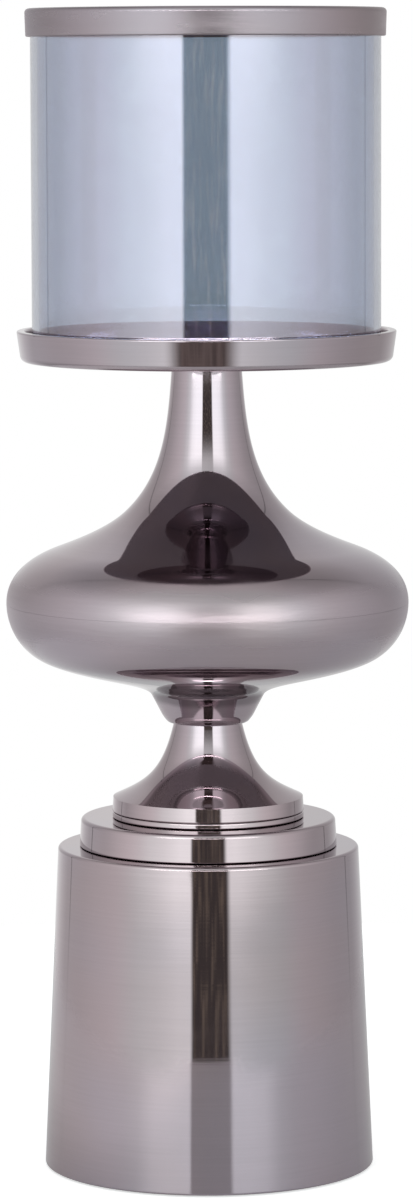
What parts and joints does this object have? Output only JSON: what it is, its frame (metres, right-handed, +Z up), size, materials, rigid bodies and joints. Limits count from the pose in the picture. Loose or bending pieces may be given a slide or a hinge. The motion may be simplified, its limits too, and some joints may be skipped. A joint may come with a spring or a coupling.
{
  "type": "hurricane candle holder",
  "caption": "Turned metal candle stand with a tapered drum base, a wide flat bulb and a shallow tray, holding a smoked glass cylinder with a loose metal ring on its top edge.",
  "frame": {"origin": "on the axis of the stand, at the surface that the felt pads rest on", "axes": "+Z up along the axis of the stand; +X to the right and -Y to the front as in the picture, though the body is round"},
  "size_m": [0.176, 0.176, 0.5076],
  "materials": {
    "polished_nickel": "polished",
    "satin_nickel": "satin",
    "smoked_glass": "gloss",
    "zinc_steel": "satin",
    "silicone": "matte",
    "felt": "matte"
  },
  "bodies": {
    "stand": {"base_drum": "satin_nickel", "felt_pad_1": "felt", "felt_pad_2": "felt", "felt_pad_3": "felt", "felt_pad_4": "felt", "step_disc": "polished_nickel", "foot_plate": "polished_nickel", "foot_cone": "polished_nickel", "lower_bulb": "polished_nickel", "upper_bulb": "polished_nickel", "tray_hub": "zinc_steel", "tray": "polished_nickel", "tie_rod": "zinc_steel", "base_washer": "zinc_steel", "lock_washer": "zinc_steel", "hex_nut": "zinc_steel", "glass_gasket": "silicone"},
    "shade": {"glass_cylinder": "smoked_glass"},
    "cap": {"ring_gasket": "silicone", "top_ring": "polished_nickel"}
  },
  "joints": [
    {"name": "glass_lift", "type": "slide", "parent": "stand", "child": "shade", "axis": [0, 0, 1], "range_m": [0, 0.04]},
    {"name": "ring_lift", "type": "slide", "parent": "shade", "child": "cap", "axis": [0, 0, 1], "range_m": [0, 0.04]}
  ]
}
